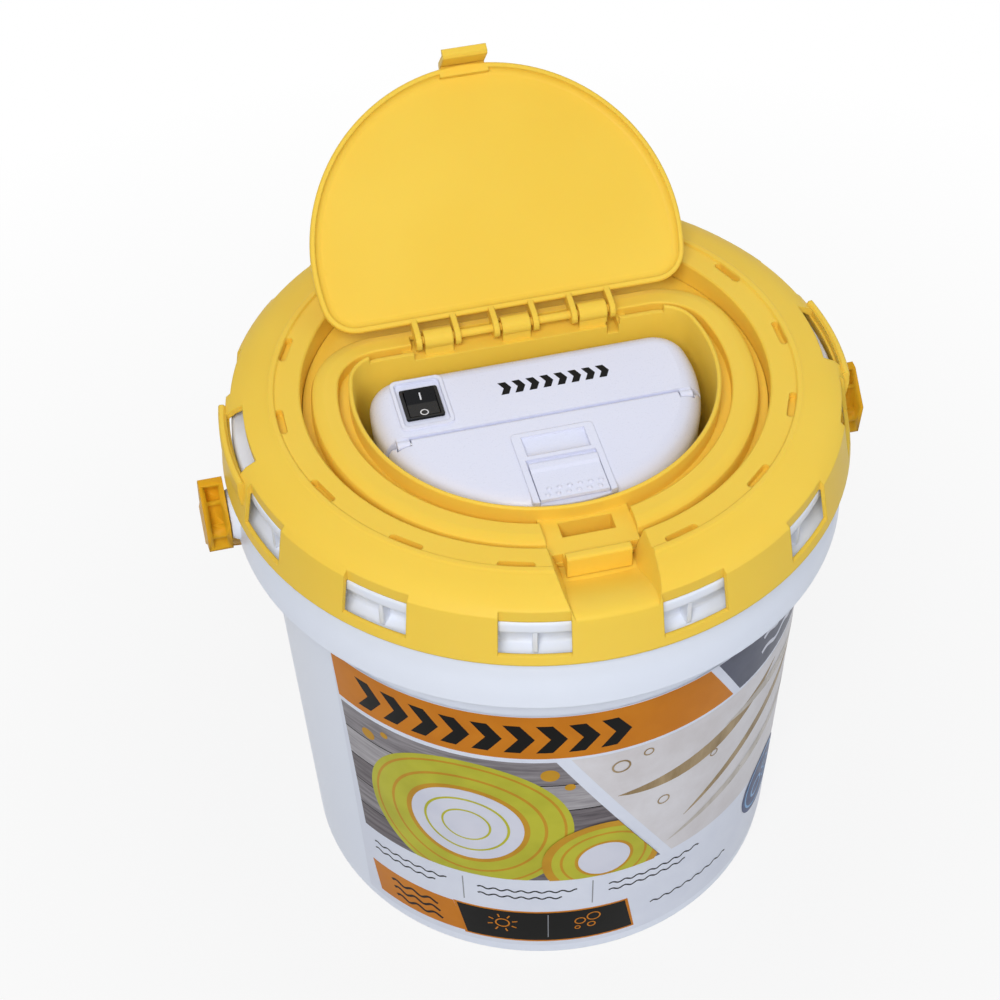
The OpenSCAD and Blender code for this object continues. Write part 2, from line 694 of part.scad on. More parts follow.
// Aerator top: the rear half of the cap, with the switch bezel and the hinge lugs
module aerator_top() {
    bezel_low = [switch_at[0] - 11, switch_at[1] - 14.6, case_top_z - 2];
    bezel_high = [switch_at[0] + 11, switch_at[1] + 14.6, case_top_z + 0.9];
    color(white) difference() {
        union() {
            intersection() {
                union() {
                    cap_shell();
                    intersection() {
                        case_solid(cap_outside());
                        union() {
                            block([-far, case_split, parting_z], [far, case_split + 1.8, far]);
                            for (p = screw_at) translate([p[0], p[1], parting_z + 0.5])
                                cylinder(h = 8, r = 3.2, $fn = 32);
                        }
                    }
                }
                block([-far, case_split, 0], [far, far, far]);
            }
            // Raised bezel round the switch
            intersection() {
                rounded_block(bezel_low, bezel_high, 3);
                case_solid([[-3.4, 240], [-3.4, 260]]);
            }
            // Lugs that hold the battery cover's pin
            for (s = [-1, 1]) {
                bar_x(s * 58.7 - 2.6, s * 58.7 + 2.6, cover_hinge_y, cover_hinge_z, 1.9);
                block([s * 58.7 - 2.6, cover_hinge_y, cover_hinge_z - 1.9],
                    [s * 58.7 + 2.6, case_split + 1, cover_hinge_z + 1.4]);
            }
        }
        // Sunk floor of the bezel and the switch cut-out
        rounded_block([switch_at[0] - 9.4, switch_at[1] - 13, case_top_z - 0.6],
            [switch_at[0] + 9.4, switch_at[1] + 13, case_top_z + 5], 2);
        block([switch_at[0] - 7.4, switch_at[1] - 8.4, 230], [switch_at[0] + 7.4, switch_at[1] + 8.4, 260]);
        for (p = screw_at) translate([p[0], p[1], 0]) cylinder(h = 246.6, r = 1.3, $fn = 24);
        bar_x(-60.6, 60.6, cover_hinge_y, cover_hinge_z, 0.96);
    }
}

// Upright block with round vertical corners
module rounded_block(low, high, r) {
    translate([0, 0, low[2]]) linear_extrude(high[2] - low[2]) {
        translate([low[0] + r, low[1]]) square([high[0] - low[0] - 2 * r, high[1] - low[1]]);
        translate([low[0], low[1] + r]) square([high[0] - low[0], high[1] - low[1] - 2 * r]);
        for (x = [low[0] + r, high[0] - r], y = [low[1] + r, high[1] - r])
            translate([x, y]) circle(r = r, $fn = 32);
    }
}

// Seal: rubber cord in the groove of the base's rim
module case_seal() {
    color(dark) d_wall(case_d, [
        [-2.9, parting_z - 1.2], [-1.6, parting_z - 1.2], [-1.6, parting_z + 0.1], [-2.25, parting_z + 0.4],
        [-2.9, parting_z + 0.1]
    ]);
}

// Case screws: driven from below into the top's bosses
module case_screws() {
    color(steel) for (p = screw_at) translate([p[0], p[1], case_bottom_z + 0.4]) difference() {
        union() {
            cylinder(h = 2, r = 2.6, $fn = 24);
            cylinder(h = 42, r = 1.24, $fn = 24);
        }
        for (a = [0, 90]) rotate([0, 0, a]) block([-1.5, -0.3, -1], [1.5, 0.3, 1.1]);
    }
}

// Switch frame: the black snap-in housing that the rocker turns in
module switch_frame() {
    color(dark) translate([switch_at[0], switch_at[1], 0]) difference() {
        union() {
            rounded_block([-7.9, -8.9, case_top_z - 0.55], [7.9, 8.9, case_top_z + 0.5], 1);
            block([-7.3, -8.3, 236], [7.3, 8.3, case_top_z]);
            for (y = [-5, 5]) block([-3, y - 0.4, 229], [3, y + 0.4, 237]);
        }
        block([-switch_half[0], -switch_half[1], 239], [switch_half[0], switch_half[1], 260]);
        bar_x(-6.95, 6.95, 0, rocker_z(), 1.06);
    }
}

// Height of the rocker's pivot
function rocker_z() = case_top_z - 1.2;

// Rocker: turns about X on two pins in its frame, pressed down at the front at rest
module rocker() {
    long = switch_half[1] - 0.5;
    color(dark) translate([switch_at[0], switch_at[1], rocker_z()]) rotate([rocker_tilt, 0, 0]) {
        prism_x(-switch_half[0] + 0.3, switch_half[0] - 0.3, concat(
            [[0, 1.5], [-long, 2.6], [-long - 0.1, 0.5]], arc([0, 0], 5.6, 200, 340, 7),
            [[long + 0.1, 0.5], [long, 2.6]]
        ));
        bar_x(-6.8, 6.8, 0, 0, 1);
    }
}

// Battery cover: the front half of the cap, hinged at its straight rear edge
module battery_cover() {
    color(white) difference() {
        union() {
            intersection() {
                union() {
                    cap_shell();
                    intersection() {
                        case_solid(cap_outside());
                        block([-far, cover_hinge_y - 1.6, parting_z], [far, far, far]);
                    }
                    intersection() {
                        rounded_block([-17, -80, case_top_z - 2], [17, -26, case_top_z + 0.6], 2);
                        case_solid([[-0.8, 240], [-0.8, 260]]);
                    }
                }
                block([-far, -far, parting_z], [far, cover_hinge_y, far]);
            }
            bar_x(-knuckle_half, knuckle_half, cover_hinge_y, cover_hinge_z, knuckle_r);
        }
        // Notches round the lugs
        for (s = [-1, 1]) block([s * 58.7 - 3.1, cover_hinge_y - 2.6, parting_z - 1],
            [s * 58.7 + 3.1, cover_hinge_y + 3, case_top_z + 3]);
        bar_x(-70, 70, cover_hinge_y, cover_hinge_z, 0.96);
        // Dished thumb pad and the bed of the latch slide
        translate([0, -34, case_top_z + 15.8]) rotate([0, 90, 0]) intersection() {
            cylinder(h = 26, r = 17, center = true);
            cube([60, 11, 26], center = true);
        }
        block([-14.3, -80, case_top_z - 1], [14.3, -41.6, case_top_z + 3]);
        // Slot for the latch slide's stem
        block([-4.4, -62.8, 240], [4.4, -55.4, case_top_z + 3]);
    }
}

// Steel pin of the battery cover
module cover_hinge_pin() {
    color(steel) bar_x(-60.4, 60.4, cover_hinge_y, cover_hinge_z, 0.9);
}

// Cover latch: a thumb slide with grip bumps that draws its tongue back
module cover_latch() {
    low = case_top_z - 0.7;
    color(white) {
        block([-14, -64.8, low], [14, -45, low + 1.5]);
        prism_x(-14, 14, [[-50, low + 1.4], [-48, low + 2.3], [-45, low + 2.3], [-45, low + 1.4]]);
        block([-4, -62.2, 238.8], [4, -59, low + 0.5]);
        block([-4, -62.9, 238.8], [4, -59, 240.6]);
        for (i = [0:5], k = [0, 1]) translate([-10.5 + 4.2 * i + 1.2 * k, -62.6 + 3.2 * k, low + 1.4])
            cylinder(h = 0.8, r1 = 1.1, r2 = 0.6, $fn = 16);
    }
}

// Tray that cradles the two cells
module battery_tray() {
    color(dark) difference() {
        block([-32.4, -52.4, case_bottom_z + 5.4], [32.4, -20.6, cell_z - 1]);
        for (y = cell_y) bar_x(-30.9, 30.9, y, cell_z, cell_r + 0.35);
        block([-30.9, cell_y[1], cell_z - 4], [30.9, cell_y[0], cell_z + 5]);
        for (x = [-20, 0, 20]) block([x - 5, -50, 200], [x + 5, -23, cell_z + 5]);
    }
}

// Cell along X, its nub towards +X
module cell() {
    color("dimgray") {
        bar_x(-24.6, 24.6, 0, cell_z, cell_r);
        bar_x(24.5, 25.9, 0, cell_z, 2.7);
    }
}

module battery_1() {
    translate([0, cell_y[0], 0]) cell();
}

module battery_2() {
    translate([0, cell_y[1], 0]) mirror([1, 0, 0]) cell();
}

// Contact springs: a tapering coil on a small plate at each cell's flat end
module contact_springs() {
    turns = 4;
    step = 30;
    color(steel) for (k = [0, 1]) translate([0, cell_y[k], cell_z]) mirror([k, 0, 0]) {
        block([-30.8, -4.8, -4.8], [-30.3, 4.8, 4.8]);
        tube([for (a = [0:step:360 * turns]) let (f = a / (360 * turns), r = 5.2 - 2 * f)
            [-29.9 + 4.6 * f, r * cos(a), r * sin(a)]], 0.35);
    }
}

// Contact plates: one behind each cell's nub
module contact_plates() {
    color(steel) for (k = [0, 1]) translate([0, cell_y[k], cell_z]) mirror([k, 0, 0]) {
        block([26.1, -4.8, -4.8], [26.6, 4.8, 4.8]);
        block([26.5, -4.8, -4.8], [30.7, 4.8, -4.3]);
        block([30.2, -4.8, -4.8], [30.7, 4.8, 4.8]);
    }
}

// Motor: a can with flats and a shaft bore, standing in its cradle
module motor() {
    low = case_bottom_z + 2.5;
    color(steel) translate([motor_at[0], motor_at[1], 0]) difference() {
        union() {
            intersection() {
                translate([0, 0, low]) cylinder(h = 23, r = 10);
                block([-10, -7.7, 0], [10, 7.7, far]);
            }
            translate([0, 0, low + 23 - eps]) cylinder(h = 1.6, r = 3.1, $fn = 32);
            for (s = [-1, 1])
                block([s * 6 - 1.2, 8 * s - 0.5, low + 10], [s * 6 + 1.2, 8 * s + 0.3, low + 14]);
        }
        translate([0, 0, low + 3]) cylinder(h = far, r = 1.06, $fn = 24);
    }
}

// Motor shaft with its crank disc and pin
module motor_shaft() {
    low = case_bottom_z + 5.8;
    color(steel) translate([motor_at[0], motor_at[1], 0]) {
        translate([0, 0, low]) cylinder(h = 231.6 - low, r = 1, $fn = 24);
        translate([0, 0, 231.4]) cylinder(h = 1.8, r = 4.4, $fn = 32);
        translate([crank_off, 0, 233]) cylinder(h = 5, r = 1.2, $fn = 24);
    }
}

// Connecting rod: from the crank to the diaphragm
module connecting_rod() {
    color("dimgray") difference() {
        union() {
            translate([motor_at[0], motor_at[1], rod_z - 1.5]) cylinder(h = 3, r = 5.4, $fn = 48);
            block([motor_at[0] + 3, motor_at[1] - 2.4, rod_z - 1.5], [8, motor_at[1] + 2.4, rod_z + 1.5]);
            bar_x(7, 9, motor_at[1], rod_z, 4.6);
        }
        translate([motor_at[0], motor_at[1], 0]) cylinder(h = far, r = 3.3, $fn = 48);
    }
}

// Diaphragm: rubber disc with a raised convolution
module diaphragm() {
    color(dark) translate([0, motor_at[1], rod_z]) rotate([0, 90, 0]) rotate_extrude() polygon([
        [0, 9.1], [5, 9.1], [6, 8.3], [7.2, 8.3], [8, 10], [10.2, 10], [10.2, pump_x[0] - 0.1],
        [7, pump_x[0] - 0.1], [6.4, 10.4], [0, 10.4]
    ]);
}

// Pump head: valve block with its clamp plate and outlet nozzle
module pump_head() {
    color("dimgray") difference() {
        union() {
            translate([0, motor_at[1], rod_z]) rotate([0, 90, 0]) translate([0, 0, pump_x[0]])
                cylinder(h = 5, r = 10.4, $fn = 64);
            block([pump_x[0] + 3, motor_at[1] - 9, rod_z - 9], [pump_x[1] - 3, motor_at[1] + 8, rod_z + 9]);
            block([pump_x[0] + 5, motor_at[1] - 9, case_bottom_z + 2.3],
                [pump_x[1] - 5, motor_at[1] + 8, rod_z - 8]);
            bar_x(pump_x[1] - 3.2, pump_x[1] + 2, motor_at[1], rod_z, 1.5);
        }
        translate([0, motor_at[1], rod_z]) rotate([0, 90, 0]) translate([0, 0, pump_x[0] - 1])
            cylinder(h = 4, r = 7, $fn = 48);
        bar_x(pump_x[0], pump_x[1] + 5, motor_at[1], rod_z, 0.8);
    }
}

// Air tube: from the pump's nozzle round to the outlet barb
module air_tube() {
    bend = 8;
    radii = [2.5, 1.56];
    y = motor_at[1];
    color("whitesmoke") translate([0, 0, barb_z]) {
        difference() {
            bar_x(pump_x[1] - 0.4, barb_x - bend, y, 0, radii[0]);
            bar_x(pump_x[1] - 1, barb_x - bend + 1, y, 0, radii[1]);
        }
        translate([barb_x - bend, y + bend, 0]) rotate([0, 0, -90]) rotate_extrude(angle = 90)
            translate([bend, 0]) difference() {
                circle(r = radii[0], $fn = 32);
                circle(r = radii[1], $fn = 32);
            }
        translate([barb_x, y + bend, 0]) rotate([-90, 0, 0]) difference() {
            cylinder(h = 4.4, r = radii[0], $fn = 32);
            translate([0, 0, -1]) cylinder(h = 9, r = radii[1], $fn = 32);
        }
    }
}

// Outlet barb: the nozzle that the air hose is pushed on
module outlet_barb() {
    color(white) translate([barb_x, 0, barb_z]) rotate([-90, 0, 0]) rotate_extrude($fn = 32) polygon([
        [0.8, 13.4], [1.5, 13.4], [1.5, 17], [2, 17], [2, 22.2], [2.6, 22.2], [2.6, 23], [1.7, 23.2],
        [2.1, 24.2], [1.7, 24.6], [2.1, 25.6], [1.5, 26.4], [0.8, 26.4]
    ]);
}

// Leads: from the switch's blades to the motor's two terminals
module switch_leads() {
    x = switch_at[0];
    y = switch_at[1];
    color("firebrick") {
        tube([[x, y - 5, 228.9], [x, y - 5, 225], [x + 3, y - 6, 221], [x + 10, y - 8, 218.6],
            [x + 18, y - 10.5, 218], [x + 24, y - 11.4, 218], [x + 27.8, y - 10.6, 218],
            [x + 28.8, y - 7.7, 218]], 0.8);
        tube([[x, y + 5, 228.9], [x, y + 5, 224], [x + 5, y + 6, 219], [x + 13, y + 6.6, 216.4],
            [x + 22, y + 9, 217], [x + 29, y + 11.8, 218], [x + 36, y + 12.9, 218],
            [x + 39.6, y + 11.7, 218]], 0.8);
    }
}

pail();
pail_rim();
foam_liner();
label();
bail_studs();
bail();
lid_ring();
lid_gasket();
lid_well();
flap();
aerator_base();
aerator_top();
case_seal();
case_screws();
switch_frame();
rocker();
battery_cover();
cover_hinge_pin();
cover_latch();
battery_tray();
battery_1();
battery_2();
contact_springs();
contact_plates();
motor();
motor_shaft();
connecting_rod();
diaphragm();
pump_head();
air_tube();
outlet_barb();
switch_leads();
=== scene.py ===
import math

import bmesh
import bpy
from mathutils import Matrix, Vector
from mathutils.bvhtree import BVHTree


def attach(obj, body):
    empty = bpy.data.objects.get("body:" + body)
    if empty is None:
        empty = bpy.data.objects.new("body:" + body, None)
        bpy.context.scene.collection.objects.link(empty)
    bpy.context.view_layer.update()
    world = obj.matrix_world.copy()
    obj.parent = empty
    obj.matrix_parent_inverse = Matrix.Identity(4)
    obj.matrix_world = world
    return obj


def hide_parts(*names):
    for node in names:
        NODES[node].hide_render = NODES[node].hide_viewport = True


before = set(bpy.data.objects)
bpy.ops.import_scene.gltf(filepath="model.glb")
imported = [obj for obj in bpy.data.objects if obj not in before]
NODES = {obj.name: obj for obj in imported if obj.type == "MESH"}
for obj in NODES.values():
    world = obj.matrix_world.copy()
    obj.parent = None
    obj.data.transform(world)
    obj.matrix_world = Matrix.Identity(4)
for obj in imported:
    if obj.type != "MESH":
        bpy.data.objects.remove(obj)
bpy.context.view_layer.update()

MM = 0.001

# The pail's wall, in metres: its radius at the foot and at the neck, and the neck's height
FOOT_R = 0.1069
NECK_R = 0.117
NECK_Z = 0.211

# The bail as packed, in metres: its pivot, its legs' length, and how far back it hangs
BAIL_PIVOT = Vector((0, 0, 0.210))
BAIL_LEG = 0.052
BAIL_HANG = math.radians(42)

# The label: clearance to the wall and thickness of film and ink in metres, then its ends in degrees
# round the pail, its foot and head in mm up it, and the width of one flat facet in degrees
FILM_LIFT = 0.0001
FILM_T = 0.0003
INK_T = 0.00004
LABEL_START = -60.8
LABEL_END = 110.0
LABEL_LOW = 7.0
LABEL_HIGH = 180.0
LABEL_STEP = 2.5
# Outline points closer than this are one point, and the downward lean of the label's shading
SAME_POINT = 0.001
WALL_TILT = 0.05

# How meshes are welded, softened and shaded
WELD_DIST = 0.000002
SOFT_EDGE_ANGLE = math.radians(32)
SHARP_ANGLE = math.radians(35)
FACE_WEIGHT = 80

# How much of the studio the printed inks mirror
INK_GLOSS = 0.06

# Moulded plastic: scale of its colour's drift, depth of its grain and of the light in it, in metres
DRIFT_SCALE = 9.0
GRAIN_DEPTH = 0.00006
GLOW_DEPTH = 0.004
WARM_GLOW = (1.0, 0.5, 0.08)
WHITE_GLOW = (1.0, 1.0, 1.0)


# Colours

def srgb(code):
    """Linear colour of an sRGB hex code such as F8C83A."""
    out = []
    for i in (0, 2, 4):
        c = int(code[i:i + 2], 16) / 255
        out.append(c / 12.92 if c <= 0.04045 else ((c + 0.055) / 1.055) ** 2.4)
    return (*out, 1.0)


class Shader:
    """A material under construction, with short ways to add and join its nodes."""

    def __init__(self, name):
        self.mat = bpy.data.materials.new(name)
        self.mat.use_nodes = True
        self.tree = self.mat.node_tree
        self.bsdf = self.tree.nodes["Principled BSDF"]
        self.coords = self.tree.nodes.new("ShaderNodeTexCoord").outputs["Object"]

    def node(self, kind, **values):
        """Adds a node; a value goes to the property of that name, or else to the input."""
        made = self.tree.nodes.new(kind)
        for key, value in values.items():
            if hasattr(made, key):
                setattr(made, key, value)
            else:
                made.inputs[key.replace("_", " ")].default_value = value
        return made

    def link(self, out, to):
        """Joins an output to an input."""
        self.tree.links.new(out, to)

    def set(self, **values):
        """Sets constants on the shader's own inputs."""
        for key, value in values.items():
            self.bsdf.inputs[key.replace("_", " ")].default_value = value

    def noise(self, scale, detail=3.0, rough=0.5, coords=None):
        """Noise in object space, or along other coordinates."""
        made = self.node("ShaderNodeTexNoise", Scale=scale, Detail=detail, Roughness=rough)
        self.link(coords or self.coords, made.inputs["Vector"])
        return made.outputs["Fac"]

    def ramp(self, fac, stops):
        """A colour ramp through (position, colour) stops."""
        made = self.node("ShaderNodeValToRGB")
        band = made.color_ramp.elements
        while len(band) < len(stops):
            band.new(0.5)
        for element, (at, colour) in zip(band, stops):
            element.position = at
            element.color = colour
        self.link(fac, made.inputs["Fac"])
        return made.outputs["Color"]

    def span(self, fac, low, high, fac_low=0.3, fac_high=0.7):
        """A value carried from its own span to the one from low to high."""
        made = self.node("ShaderNodeMapRange")
        for key, value in (("From Min", fac_low), ("From Max", fac_high), ("To Min", low), ("To Max", high)):
            made.inputs[key].default_value = value
        self.link(fac, made.inputs["Value"])
        return made.outputs["Result"]

    def bump(self, height, strength, distance, edge=0.0):
        """Fine relief; where edge is given, sharp edges catch the light over that radius."""
        made = self.node("ShaderNodeBump", Strength=strength, Distance=distance)
        if edge:
            soft = self.node("ShaderNodeBevel", samples=4, Radius=edge)
            self.link(soft.outputs["Normal"], made.inputs["Normal"])
        self.link(height, made.inputs["Height"])
        self.link(made.outputs["Normal"], self.bsdf.inputs["Normal"])


def plastic(name, colour, deep, rough, grain=900.0, strength=0.25, soft=0.0, soft_tint=WHITE_GLOW, gloss=0.3,
            edge=0.0):
    """Moulded plastic: a slow drift of colour, a fine moulded grain and a roughness that varies with it."""
    s = Shader(name)
    drift = s.noise(DRIFT_SCALE, 2.0)
    s.link(s.ramp(drift, [(0.3, srgb(deep)), (0.7, srgb(colour))]), s.bsdf.inputs["Base Color"])
    fine = s.noise(grain, 4.0, 0.6)
    s.link(s.span(fine, rough - 0.05, rough + 0.05), s.bsdf.inputs["Roughness"])
    s.bump(fine, strength, GRAIN_DEPTH, edge)
    s.set(Specular_IOR_Level=gloss)
    if soft:
        s.set(Subsurface_Weight=soft, Subsurface_Scale=GLOW_DEPTH, Subsurface_Radius=soft_tint)
    return s.mat


def metal(name, colour, rough):
    """Plated metal, with fine lines drawn along one axis, a little darker in the lines."""
    s = Shader(name)
    bright = srgb(colour)
    dark = (*(0.85 * c for c in bright[:3]), 1.0)
    drawn = s.node("ShaderNodeMapping")
    drawn.inputs["Scale"].default_value = (40.0, 900.0, 900.0)
    s.link(s.coords, drawn.inputs["Vector"])
    lines = s.noise(1.0, 3.0, 0.6, drawn.outputs["Vector"])
    s.link(s.span(lines, rough - 0.08, rough + 0.1), s.bsdf.inputs["Roughness"])
    s.link(s.ramp(lines, [(0.3, dark), (0.7, bright)]), s.bsdf.inputs["Base Color"])
    s.set(Metallic=1.0)
    return s.mat


def foam_material():
    """Expanded bead foam: rounded cells pressed against each other."""
    s = Shader("bead_foam")
    cells = s.node("ShaderNodeTexVoronoi", Scale=260.0)
    s.link(s.coords, cells.inputs["Vector"])
    s.link(s.ramp(cells.outputs["Distance"], [(0.0, srgb("F4F4F1")), (0.9, srgb("DEDEDA"))]),
           s.bsdf.inputs["Base Color"])
    s.bump(cells.outputs["Distance"], 0.5, -0.0006)
    s.set(Roughness=0.85)
    return s.mat


YELLOW = plastic("lid_plastic", "F3CE52", "EFC648", 0.42, grain=1100.0, strength=0.2,
                 soft=0.1, soft_tint=WARM_GLOW, gloss=0.1, edge=0.0008)
BAIL = plastic("bail_plastic", "E0A924", "D89F1C", 0.45, grain=1100.0,
               soft=0.08, soft_tint=WARM_GLOW, gloss=0.1, edge=0.0006)
WHITE = plastic("pail_plastic", "E9EFFD", "E4EBFB", 0.33, grain=700.0, strength=0.15, soft=0.08, edge=0.0008)
CASE = plastic("case_plastic", "DEE1F3", "D9DCF0", 0.3, grain=1300.0, strength=0.15,
               soft=0.05, gloss=0.35, edge=0.0006)
BLACK = plastic("black_plastic", "101114", "0C0D10", 0.3, grain=1500.0, strength=0.1, gloss=0.15, edge=0.0004)
GREY = plastic("grey_plastic", "5A5D61", "505356", 0.5, grain=1200.0, strength=0.3)
RUBBER = plastic("black_rubber", "242424", "1C1C1C", 0.75, strength=0.5)
TUBE = plastic("soft_tube", "DADAD4", "CFCFC8", 0.4, strength=0.2, soft=0.3, soft_tint=(1.0, 0.9, 0.8))
WIRE = plastic("wire_sleeve", "A01818", "8C1414", 0.45, strength=0.2)
CELL = plastic("cell_sleeve", "34363A", "2C2E32", 0.3, grain=500.0, strength=0.1)
STEEL = metal("plated_steel", "C4C6C8", 0.3)
FOAM = foam_material()


# Meshes

def mesh_object(name, bm, material, body, smooth=True):
    """Turns a bmesh into a piece that rides on a body."""
    mesh = bpy.data.meshes.new(name)
    bm.to_mesh(mesh)
    bm.free()
    obj = bpy.data.objects.new(name, mesh)
    bpy.context.scene.collection.objects.link(obj)
    mesh.materials.append(material)
    if smooth:
        mesh.polygons.foreach_set("use_smooth", [True] * len(mesh.polygons))
        mesh.set_sharp_from_angle(angle=SHARP_ANGLE)
    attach(obj, body)
    return obj


def add_weld(obj):
    """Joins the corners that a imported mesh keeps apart."""
    obj.modifiers.new("weld", "WELD").merge_threshold = WELD_DIST


def add_even_normals(obj):
    """Lets the large faces lead the shading, so that flats stay flat and rounds stay round."""
    even = obj.modifiers.new("normals", "WEIGHTED_NORMAL")
    even.keep_sharp = True
    even.weight = FACE_WEIGHT


def dress(nodes, material, bevel):
    """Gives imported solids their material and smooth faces, with edges softened by bevel metres."""
    for node in nodes:
        obj = NODES[node]
        obj.data.materials.clear()
        obj.data.materials.append(material)
        add_weld(obj)
        if bevel:
            round_off = obj.modifiers.new("edges", "BEVEL")
            round_off.width = bevel
            round_off.segments = 2
            round_off.limit_method = "ANGLE"
            round_off.angle_limit = SOFT_EDGE_ANGLE
            round_off.miter_outer = "MITER_ARC"
            round_off.harden_normals = False
            round_off.use_clamp_overlap = True
        add_even_normals(obj)


def dress_all():
    """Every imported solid, the hidden ones too: nodes, material, softened edge."""
    dress(("pail", "pail_rim", "bail_studs"), WHITE, 0.0005)
    dress(("lid_ring", "lid_well", "flap"), YELLOW, 0.0005)
    dress(("bail",), BAIL, 0.0005)
    dress(("aerator_base", "aerator_top", "battery_cover", "cover_latch", "outlet_barb"), CASE, 0.0004)
    dress(("rocker", "switch_frame", "battery_tray"), BLACK, 0.0003)
    dress(("lid_gasket", "case_seal", "diaphragm"), RUBBER, 0.0001)
    dress(("case_screws", "cover_hinge_pin", "contact_springs", "contact_plates"), STEEL, 0)
    dress(("motor", "motor_shaft"), STEEL, 0)
    dress(("connecting_rod", "pump_head"), GREY, 0.0002)
    dress(("battery_1", "battery_2"), CELL, 0.0004)
    dress(("foam_liner",), FOAM, 0.001)
    dress(("air_tube",), TUBE, 0)
    dress(("switch_leads",), WIRE, 0)


# Bail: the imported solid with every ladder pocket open

# Where the closed pockets start round the crown and how far they reach, in degrees
SKINNED_POCKETS = (4, 30, 150)
POCKET_SPAN = 11
# The cutter's section in metres: from inner to outer radius, and from below the bail's face to above it
MOUTH_R = (0.13276, 0.13924)
MOUTH_Y = (0.0091, 0.0101)


def pocket_mouth(bm, start, side, steps=16):
    """A short curved block over one pocket's mouth, to cut the thin skin away."""
    turn = Matrix.Rotation(BAIL_HANG, 3, "X")
    inner, outer = MOUTH_R
    below, above = MOUTH_Y
    section = [(inner, below), (outer, below), (outer, above), (inner, above)]
    loops = []
    for i in range(steps + 1):
        a = math.radians(start + POCKET_SPAN * i / steps - 180)
        loop = []
        for r, y in section:
            hanging = Vector((r * math.cos(a), side * y, r * math.sin(a) - BAIL_LEG))
            loop.append(bm.verts.new(turn @ hanging + BAIL_PIVOT))
        loops.append(loop)
    for one, two in zip(loops, loops[1:]):
        for k in range(4):
            bm.faces.new((one[k], one[(k + 1) % 4], two[(k + 1) % 4], two[k]))
    bm.faces.new(loops[0][::-1])
    bm.faces.new(loops[-1])


def temporary(name, mesh):
    """An object for one modifier's work, removed again afterwards."""
    obj = bpy.data.objects.new(name, mesh)
    bpy.context.scene.collection.objects.link(obj)
    return obj


def make_bail():
    """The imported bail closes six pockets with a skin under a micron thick; here they are open."""
    cut = bmesh.new()
    for start in SKINNED_POCKETS:
        for side in (-1, 1):
            pocket_mouth(cut, start, side)
    bmesh.ops.recalc_face_normals(cut, faces=cut.faces)
    cutter_mesh = bpy.data.meshes.new("pocket_cutter")
    cut.to_mesh(cutter_mesh)
    cut.free()
    cutter = temporary("pocket_cutter", cutter_mesh)
    blank = temporary("bail_blank", NODES["bail"].data.copy())
    add_weld(blank)
    opened = blank.modifiers.new("open", "BOOLEAN")
    opened.operation = "DIFFERENCE"
    opened.solver = "MANIFOLD"
    opened.object = cutter
    result = bmesh.new()
    result.from_object(blank, bpy.context.evaluated_depsgraph_get())
    bpy.data.objects.remove(cutter)
    bpy.data.objects.remove(blank)
    bmesh.ops.dissolve_limit(result, angle_limit=0.002, verts=result.verts, edges=result.edges)
    bmesh.ops.triangulate(result, faces=result.faces)
    piece = mesh_object("bail_open", result, BAIL, "bail")
    add_even_normals(piece)
    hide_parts("bail")


# Label: flat outlines in degrees round the pail and millimetres up it, bent onto the wall

def wall_r(z_mm):
    """The pail's outer radius, in metres, at a height in mm."""
    return FOOT_R + (NECK_R - FOOT_R) * z_mm * MM / NECK_Z


def on_wall(theta, z_mm, lift):
    """A point on the label's facets, so that every layer of ink lies parallel to the film."""
    middle = (math.floor(theta / LABEL_STEP) + 0.5) * LABEL_STEP
    flat = math.cos(math.radians(LABEL_STEP / 2)) / math.cos(math.radians(theta - middle))
    r = wall_r(z_mm) * flat + lift
    a = math.radians(theta)
    return Vector((r * math.sin(a), -r * math.cos(a), z_mm * MM))


def patch(name, outlines, material, layer):
    """Printed shapes on the pail: outlines of (degrees, mm) points; layer 0 is the film, then inks."""
    bm = bmesh.new()
    for outline in outlines:
        bm.faces.new([bm.verts.new((t, z, 0)) for t, z in outline])
    bmesh.ops.remove_doubles(bm, verts=bm.verts, dist=SAME_POINT)
    low = min(t for o in outlines for t, z in o)
    high = max(t for o in outlines for t, z in o)
    # Cut at the edges between facets, then made one unit thick while still flat
    cut = math.ceil(low / LABEL_STEP) * LABEL_STEP
    while cut < high:
        geom = bm.verts[:] + bm.edges[:] + bm.faces[:]
        bmesh.ops.bisect_plane(bm, geom=geom, dist=1e-6, plane_co=(cut, 0, 0), plane_no=(1, 0, 0))
        cut += LABEL_STEP
    bmesh.ops.triangulate(bm, faces=[f for f in bm.faces if len(f.verts) > 4])
    made = bmesh.ops.extrude_face_region(bm, geom=bm.faces[:])
    for v in made["geom"]:
        if isinstance(v, bmesh.types.BMVert):
            v.co.z = 1
    bmesh.ops.recalc_face_normals(bm, faces=bm.faces)
    if layer:
        base = FILM_LIFT + FILM_T + INK_T * (layer - 1)
        top = base + INK_T
    else:
        base = FILM_LIFT
        top = FILM_LIFT + FILM_T
    for v in bm.verts:
        v.co = on_wall(v.co.x, v.co.y, top if v.co.z > 0.5 else base)
    obj = mesh_object(name, bm, material, "pail")
    outward = [Vector((v.co.x, v.co.y, -WALL_TILT * v.co.xy.length)).normalized() for v in obj.data.vertices]
    obj.data.normals_split_custom_set_from_vertices(outward)
    return obj


def per_mm(z):
    """Degrees round the label for one millimetre."""
    return math.degrees(MM / wall_r(z))


def rect(t0, z0, t1, z1):
    """An upright rectangle from one corner to the other."""
    return [(t0, z0), (t1, z0), (t1, z1), (t0, z1)]


def disc(t, z, r_mm, n=48):
    """A circle's outline round a point of the label."""
    return [(t + r_mm * per_mm(z) * math.cos(2 * math.pi * i / n),
             z + r_mm * math.sin(2 * math.pi * i / n)) for i in range(n)]


